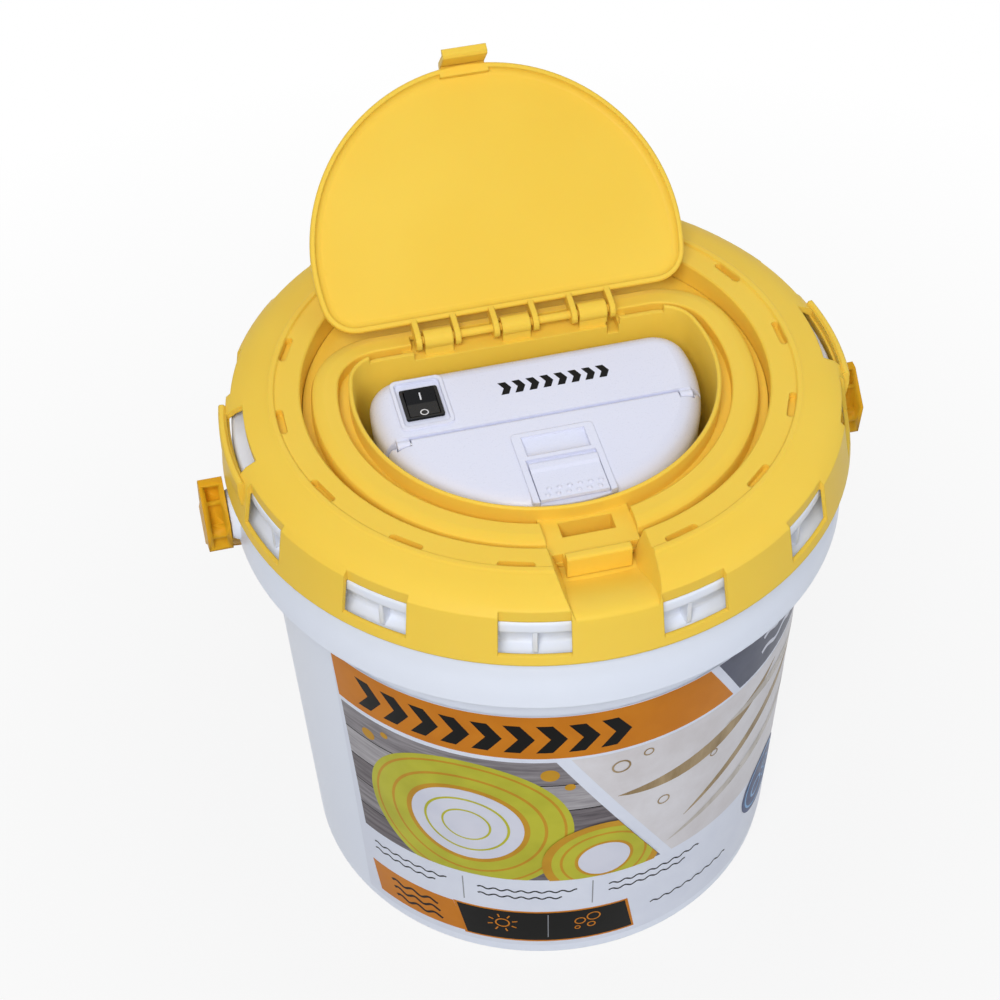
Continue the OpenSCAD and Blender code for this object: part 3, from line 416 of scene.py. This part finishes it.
def ring(t, z, r_mm, wide, n=32):
    """A circle's outline as a closed strip of quads."""
    outer = disc(t, z, r_mm, n)
    inner = disc(t, z, r_mm - wide, n)
    return [[outer[i], outer[(i + 1) % n], inner[(i + 1) % n], inner[i]] for i in range(n)]


def stroke(points, widths):
    """A brush stroke as quads: points in label units, full widths in mm."""
    left = []
    right = []
    for i, (t, z) in enumerate(points):
        t0, z0 = points[max(i - 1, 0)]
        t1, z1 = points[min(i + 1, len(points) - 1)]
        across = Vector((-(z1 - z0), (t1 - t0) / per_mm(z))).normalized()
        half = widths[i] / 2
        left.append((t + across.x * half * per_mm(z), z + across.y * half))
        right.append((t - across.x * half * per_mm(z), z - across.y * half))
    return [[right[i], right[i + 1], left[i + 1], left[i]] for i in range(len(points) - 1)]


def wave(t0, t1, z, high, long, wide):
    """A wavy line round the label, high and long in mm."""
    count = max(8, round((t1 - t0) / per_mm(z) / long * 12))
    points = []
    for i in range(count + 1):
        t = t0 + (t1 - t0) * i / count
        points.append((t, z + high * math.sin(2 * math.pi * (t - t0) / per_mm(z) / long)))
    return stroke(points, [wide] * len(points))


def reed(t0, z0, t1, z1, bend, wide, n=16):
    """A long stroke that tapers to both ends and bows to one side by bend mm."""
    points = []
    widths = []
    for i in range(n + 1):
        f = i / n
        bow = bend * 4 * f * (1 - f)
        points.append((t0 + (t1 - t0) * f, z0 + (z1 - z0) * f + bow))
        widths.append(0.25 + wide * math.sin(math.pi * f) ** 0.8)
    return stroke(points, widths)


def clip(outline, window):
    """The part of one convex outline inside another whose points go anticlockwise."""
    out = list(outline)
    for (ax, ay), (bx, by) in zip(window, window[1:] + window[:1]):
        def side(p):
            """Over 0 on the window's inner side of this edge."""
            return (bx - ax) * (p[1] - ay) - (by - ay) * (p[0] - ax)
        kept = []
        for p, q in zip(out, out[1:] + out[:1]):
            sp, sq = side(p), side(q)
            if sp >= 0:
                kept.append(p)
            if sp * sq < 0:
                f = sp / (sp - sq)
                kept.append((p[0] + (q[0] - p[0]) * f, p[1] + (q[1] - p[1]) * f))
        out = kept
    return out


def print_ink(name, colour, deep, rough=0.32, grain=None):
    """Printed ink on film: nearly even, with a faint mottle, or streaked where grain gives its scale."""
    s = Shader(name)
    if grain:
        spread = s.node("ShaderNodeMapping")
        spread.inputs["Scale"].default_value = grain
        s.link(s.coords, spread.inputs["Vector"])
        tone = s.noise(1.0, 6.0, 0.65, spread.outputs["Vector"])
    else:
        tone = s.noise(60.0, 2.0)
    s.link(s.ramp(tone, [(0.35, srgb(deep)), (0.65, srgb(colour))]), s.bsdf.inputs["Base Color"])
    s.link(s.span(s.noise(200.0, 2.0), rough - 0.04, rough + 0.04), s.bsdf.inputs["Roughness"])
    s.set(Specular_IOR_Level=INK_GLOSS)
    return s.mat


def make_inks():
    """The film and the inks of the label by name."""
    inks = {
        "film": print_ink("label_film", "E2E7F5", "DEE3F2"),
        "mist": print_ink("ink_mist", "DFDDE2", "D3CFD2", grain=(30.0, 30.0, 30.0)),
        "sand": print_ink("ink_sand", "B09A78", "8E7752", grain=(90.0, 90.0, 25.0)),
        "silver": print_ink("ink_silver", "CFC9C4", "B5ADA4", 0.3, (90.0, 90.0, 25.0)),
        "board_light": print_ink("ink_board_light", "B9B6BA", "8F8B90", 0.34, (30.0, 30.0, 420.0)),
        "board_mid": print_ink("ink_board_mid", "9C989C", "6F6A6F", 0.34, (30.0, 30.0, 380.0)),
        "board_dark": print_ink("ink_board_dark", "827C80", "565055", 0.34, (30.0, 30.0, 460.0)),
    }
    plain = (
        ("orange", "CF7F1C", "C87818"), ("slate", "5D6172", "565A6A"), ("black", "0A0907", "070605"),
        ("grey", "9B9DA4", "94969D"), ("lime", "C0BE3C", "B4B236"), ("amber", "C8962C", "BC8A26"),
        ("pale", "DADCEA", "D3D6E6"), ("navy", "1F3C72", "1A3364"), ("sky", "6FA6D8", "649BCE"),
    )
    for name, colour, deep in plain:
        inks[name] = print_ink("ink_" + name, colour, deep)
    return inks


def label_band(inks):
    """Across the top: orange with a row of chevrons, then slate with pale waves."""
    band = [(-60.1, 151.4), (30.9, 151.4), (23.0, 179.5), (-60.6, 179.5)]
    patch("label_band", [band], inks["orange"], 1)
    chevrons = []
    for i in range(9):
        t = -54.0 + 6.6 * i
        for low, high, foot, head in ((155.5, 164.5, t, t + 3.0), (164.5, 173.5, t + 3.0, t)):
            chevrons.append([(foot, low), (foot + 3.4, low), (head + 3.4, high), (head, high)])
    patch("label_chevrons", chevrons, inks["black"], 2)
    slate = [(33.0, 151.4), (100.0, 151.4), (100.0, 179.5), (25.2, 179.5)]
    patch("label_slate", [slate], inks["slate"], 1)
    waves = wave(40.0, 92.0, 171.0, 1.4, 16.0, 2.4) + wave(40.0, 92.0, 161.5, 1.4, 16.0, 2.4)
    patch("label_slate_waves", waves, inks["pale"], 2)


def label_ripples(inks):
    """Picture on the left: rings of ripples over grey boards, each ring on a layer of its own."""
    panel = [(-58.4, 61.0), (14.6, 61.0), (-10.3, 148.6), (-59.7, 148.6)]
    edges = [61.0, 78.0, 96.0, 113.5, 132.0, 148.6]
    tones = ("board_dark", "board_mid", "board_dark", "board_light", "board_mid")
    for i, (low, high, tone) in enumerate(zip(edges, edges[1:], tones)):
        board = clip(rect(-62.0, low + (0.35 if i else 0), 16.0, high), panel)
        patch("label_board_%d" % i, [board], inks[tone], 1)
    gaps = [clip(rect(-62.0, z - 0.1, 16.0, z + 0.45), panel) for z in edges[1:-1]]
    patch("label_board_gaps", gaps, inks["black"], 2)
    ripples = (
        ((-30.0, 99.0), (46.0, "lime"), (43.2, "amber"), (42.0, "lime"), (35.0, "amber"), (33.6, "lime"),
         (27.5, "amber"), (25.0, "pale"), (19.0, "lime"), (17.8, "pale"), (11.0, "lime"), (10.0, "pale")),
        ((0.5, 74.0), (27.0, "amber"), (23.0, "lime"), (19.4, "amber"), (18.2, "lime"), (13.0, "amber"),
         (11.5, "pale")),
    )
    layer = 3
    for i, ((t, z), *sizes) in enumerate(ripples):
        for j, (r, ink) in enumerate(sizes):
            patch("label_ripple_%d_%d" % (i, j), [clip(disc(t, z, r, 72), panel)], inks[ink], layer)
            layer += 1
    drops = ((-52.5, 137.0, 3.4), (-48.0, 142.5, 1.9), (-11.6, 139.5, 4.0), (-7.4, 130.5, 2.3))
    patch("label_drops", [clip(disc(*drop), panel) for drop in drops], inks["amber"], 3)


def label_reeds(inks):
    """Picture on the right: pale ground with reeds and bubbles, and a round badge."""
    ground = [(17.6, 61.0), (100.0, 61.0), (100.0, 149.6), (-7.2, 149.6)]
    patch("label_mist", [ground], inks["mist"], 1)
    near = reed(3.0, 118.0, 48.0, 143.0, -7.0, 8.5) + reed(20.0, 84.0, 74.0, 132.0, 6.0, 6.0)
    patch("label_reeds", near, inks["sand"], 2)
    far = reed(16.0, 70.0, 84.0, 96.0, 9.0, 6.5) + reed(30.0, 132.0, 92.0, 112.0, 8.0, 8.0)
    patch("label_reeds_far", far, inks["silver"], 3)
    bubbles = ring(3.4, 139.0, 4.2, 0.9) + ring(9.4, 143.6, 2.4, 0.7)
    bubbles += ring(14.0, 104.0, 3.0, 0.7) + ring(27.0, 118.0, 2.2, 0.6)
    patch("label_bubbles", bubbles, inks["sand"], 4)
    patch("label_badge", [disc(53.0, 48.0, 19.5)], inks["navy"], 4)
    badge = ring(53.0, 48.0, 17.0, 1.2) + ring(50.6, 45.0, 6.0, 1.4)
    badge += ring(55.6, 52.0, 4.0, 1.2) + ring(56.4, 42.4, 2.6, 1.0)
    patch("label_badge_bubbles", badge, inks["sky"], 5)


def label_foot(inks):
    """Under the pictures: wave lines between rules, an orange block with waves, and a bar with icons."""
    patch("label_rules", [rect(-32.1, 39.0, -31.8, 57.0), rect(-2.0, 39.0, -1.7, 57.0)], inks["grey"], 1)
    spans = ((-56.0, -36.0, 51.5), (-56.0, -39.0, 46.5), (-28.5, -5.5, 51.5), (-28.5, -9.0, 46.5),
             (2.0, 26.0, 51.5), (2.0, 22.0, 46.5), (13.0, 37.0, 24.5))
    lines = []
    for start, end, z in spans:
        lines += wave(start, end, z, 0.7, 6.0, 0.9)
    patch("label_lines", lines, inks["black"], 2)
    patch("label_block", [[(-56.4, 11.8), (-32.4, 11.8), (-34.8, 34.6), (-57.8, 34.6)]], inks["orange"], 1)
    waves = []
    for start, end, z in ((-52.0, -39.0, 28.0), (-51.5, -38.5, 22.5), (-51.0, -38.0, 17.0)):
        waves += wave(start, end, z, 1.2, 9.0, 1.5)
    patch("label_block_waves", waves, inks["black"], 2)
    patch("label_bar", [[(-32.4, 10.4), (9.0, 10.4), (6.8, 35.2), (-34.8, 35.2)]], inks["orange"], 1)
    patch("label_bar_inside", [[(-31.8, 11.5), (8.4, 11.5), (6.2, 34.1), (-34.0, 34.1)]], inks["black"], 2)
    sun_t, sun_z = -23.0, 24.5
    icons = ring(sun_t, sun_z, 3.4, 0.7)
    for i in range(8):
        a = 2 * math.pi * i / 8 + 0.3
        ray = [(sun_t + r * per_mm(sun_z) * math.cos(a), sun_z + r * math.sin(a)) for r in (4.6, 7.0)]
        icons += stroke(ray, [0.7, 0.7])
    icons += ring(-4.6, 25.6, 2.6, 0.6) + ring(-1.4, 28.0, 3.2, 0.6) + ring(-1.9, 21.6, 2.0, 0.6)
    icons += ring(-5.2, 20.4, 1.4, 0.5)
    patch("label_icons", icons, inks["orange"], 3)
    patch("label_bar_rule", [rect(-12.3, 14.0, -12.1, 32.5)], inks["grey"], 3)


def make_label():
    """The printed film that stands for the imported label, and the inks on it, layer by layer."""
    inks = make_inks()
    film = patch("label_film", [rect(LABEL_START, LABEL_LOW, LABEL_END, LABEL_HIGH)], inks["film"], 0)
    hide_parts("label")
    label_band(inks)
    label_ripples(inks)
    label_reeds(inks)
    label_foot(inks)


# Marks printed on flat faces of the aerator

# A height over the whole object, in metres
ABOVE = 0.5

def hit(node, x, y):
    """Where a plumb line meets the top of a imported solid, and the face's normal there."""
    mesh = NODES[node].data
    tree = BVHTree.FromPolygons([v.co for v in mesh.vertices], [p.vertices for p in mesh.polygons])
    return tree.ray_cast(Vector((x, y, ABOVE)), Vector((0, 0, -1)))[:2]


def flat_mark(name, node, at, outlines, material, body, thick=0.00005):
    """Flat shapes in mm round a point, laid on the node's face under it."""
    place, normal = hit(node, at[0] * MM, at[1] * MM)
    along = Vector((1, 0, 0))
    across = normal.cross(along).normalized()
    along = across.cross(normal)
    bm = bmesh.new()
    for outline in outlines:
        bm.faces.new([bm.verts.new(place + (along * x + across * y) * MM) for x, y in outline])
    bmesh.ops.remove_doubles(bm, verts=bm.verts, dist=1e-7)
    made = bmesh.ops.extrude_face_region(bm, geom=bm.faces[:])
    for v in made["geom"]:
        if isinstance(v, bmesh.types.BMVert):
            v.co += normal * thick
    bmesh.ops.recalc_face_normals(bm, faces=bm.faces)
    mesh_object(name, bm, material, body, smooth=False)


def circle_band(r, wide, n=32):
    """A flat circle's band as quads, in mm."""
    out = []
    for i in range(n):
        a, b = 2 * math.pi * i / n, 2 * math.pi * (i + 1) / n
        out.append([(r * math.cos(a), r * math.sin(a)), (r * math.cos(b), r * math.sin(b)),
                    ((r - wide) * math.cos(b), (r - wide) * math.sin(b)),
                    ((r - wide) * math.cos(a), (r - wide) * math.sin(a))])
    return out


def make_marks():
    """The two signs on the rocker, and a row of chevrons behind the battery cover."""
    white = print_ink("ink_white", "E6E6EA", "DDDDE2")
    black = print_ink("ink_mark", "0A0A0B", "070708")
    bar = [(-0.3, -1.7), (0.3, -1.7), (0.3, 1.7), (-0.3, 1.7)]
    flat_mark("rocker_on_mark", "rocker", (-46.8, 5.0), [bar], white, "rocker")
    flat_mark("rocker_off_mark", "rocker", (-46.9, -3.9), circle_band(1.75, 0.45), white, "rocker")
    chevrons = []
    for i in range(8):
        x = -22.4 + 5.9 * i
        chevrons.append([(x, -3.6), (x + 3.2, -3.6), (x + 5.0, 0), (x + 1.8, 0)])
        chevrons.append([(x + 1.8, 0), (x + 5.0, 0), (x + 3.2, 3.6), (x, 3.6)])
    flat_mark("case_chevrons", "aerator_top", (8.0, 2.0), chevrons, black, "aerator")


# Stage

# The floor's half width and its drop below the object's foot, in metres
FLOOR_HALF = 4.0
FLOOR_DROP = 0.0002
# Its glow for the camera, near the object and away from it, and the distances where that starts and ends
GLOW_NEAR = 0.87
GLOW_AWAY = 1.0
GLOW_START = 0.15
GLOW_END = 0.6
# Where the lamps point, in metres
AIM = (0, 0, 0.2)


def any_view_ray(tree):
    """1 for camera, glossy and transmission rays, so that gloss and glass show the white studio too."""
    path = tree.nodes.new("ShaderNodeLightPath")
    seen = path.outputs["Is Camera Ray"]
    for kind in ("Is Glossy Ray", "Is Transmission Ray"):
        larger = tree.nodes.new("ShaderNodeMath")
        larger.operation = "MAXIMUM"
        tree.links.new(seen, larger.inputs[0])
        tree.links.new(path.outputs[kind], larger.inputs[1])
        seen = larger.outputs[0]
    return seen


def make_stage():
    """A pale floor that keeps the object's shadow and turns plain white away from it."""
    bm = bmesh.new()
    bmesh.ops.create_grid(bm, x_segments=1, y_segments=1, size=FLOOR_HALF)
    mesh = bpy.data.meshes.new("floor")
    bm.to_mesh(mesh)
    bm.free()
    floor = bpy.data.objects.new("floor", mesh)
    bpy.context.scene.collection.objects.link(floor)
    floor.location.z = -FLOOR_DROP
    s = Shader("floor_white")
    s.link(s.ramp(s.noise(3.0), [(0.3, (0.48, 0.48, 0.48, 1)), (0.7, (0.50, 0.50, 0.50, 1))]),
           s.bsdf.inputs["Base Color"])
    s.set(Roughness=0.9, Specular_IOR_Level=0.1)
    away = s.node("ShaderNodeVectorMath", operation="LENGTH")
    s.link(s.coords, away.inputs[0])
    seen = s.node("ShaderNodeMath", operation="MULTIPLY")
    s.link(any_view_ray(s.tree), seen.inputs[0])
    s.link(s.span(away.outputs["Value"], GLOW_NEAR, GLOW_AWAY, GLOW_START, GLOW_END), seen.inputs[1])
    glow = s.node("ShaderNodeEmission", Strength=1.0)
    mix = s.node("ShaderNodeMixShader")
    s.link(seen.outputs[0], mix.inputs[0])
    s.link(s.bsdf.outputs[0], mix.inputs[1])
    s.link(glow.outputs[0], mix.inputs[2])
    s.link(mix.outputs[0], s.tree.nodes["Material Output"].inputs["Surface"])
    mesh.materials.append(s.mat)


def area(name, at, size, power, colour):
    """A round soft lamp that points at the object."""
    lamp = bpy.data.lights.new(name, "AREA")
    lamp.shape = "DISK"
    lamp.size = size
    lamp.energy = power
    lamp.color = colour
    obj = bpy.data.objects.new(name, lamp)
    bpy.context.scene.collection.objects.link(obj)
    obj.location = at
    obj.rotation_euler = (Vector(AIM) - Vector(at)).to_track_quat("-Z", "Y").to_euler()


def make_light():
    """A cool soft sky, white where it is seen, and three lamps."""
    world = bpy.data.worlds.new("studio")
    bpy.context.scene.world = world
    world.use_nodes = True
    tree = world.node_tree
    sky = tree.nodes["Background"]
    sky.inputs["Color"].default_value = (0.93, 0.96, 1.0, 1)
    sky.inputs["Strength"].default_value = 0.42
    white = tree.nodes.new("ShaderNodeBackground")
    white.inputs["Color"].default_value = (1, 1, 1, 1)
    white.inputs["Strength"].default_value = 1.0
    mix = tree.nodes.new("ShaderNodeMixShader")
    tree.links.new(any_view_ray(tree), mix.inputs[0])
    tree.links.new(sky.outputs[0], mix.inputs[1])
    tree.links.new(white.outputs[0], mix.inputs[2])
    tree.links.new(mix.outputs[0], tree.nodes["World Output"].inputs["Surface"])
    area("key", (-0.55, -1.3, 1.7), 0.9, 26, (1.0, 0.99, 0.97))
    area("fill", (1.3, -1.0, 1.1), 1.1, 4, (0.93, 0.96, 1.0))
    area("rear", (0.2, 1.3, 1.5), 1.0, 3, (1, 1, 1))


def make_camera():
    """The photograph's viewpoint, solved from the lid's round edges."""
    place = Vector((-0.160995, -0.658766, 0.873575))
    forward = Vector((0.1509, 0.6852, -0.7126)).normalized()
    roll = math.radians(-1.665)
    right = forward.cross(Vector((0, 0, 1))).normalized()
    up = right.cross(forward)
    turned_right = math.cos(roll) * right + math.sin(roll) * up
    turned_up = -math.sin(roll) * right + math.cos(roll) * up
    data = bpy.data.cameras.new("camera")
    data.sensor_width = 36.0
    data.lens = 81.09
    data.clip_start = 0.05
    camera = bpy.data.objects.new("camera", data)
    bpy.context.scene.collection.objects.link(camera)
    turn = Matrix((turned_right, turned_up, -forward)).transposed().to_4x4()
    camera.matrix_world = Matrix.Translation(place) @ turn
    bpy.context.scene.camera = camera


def make_scene():
    """Everything, from the camera to the last mark."""
    make_camera()
    make_stage()
    make_light()
    dress_all()
    make_bail()
    make_label()
    make_marks()
    bpy.context.scene.view_settings.view_transform = "Standard"


make_scene()
bpy.context.view_layer.update()
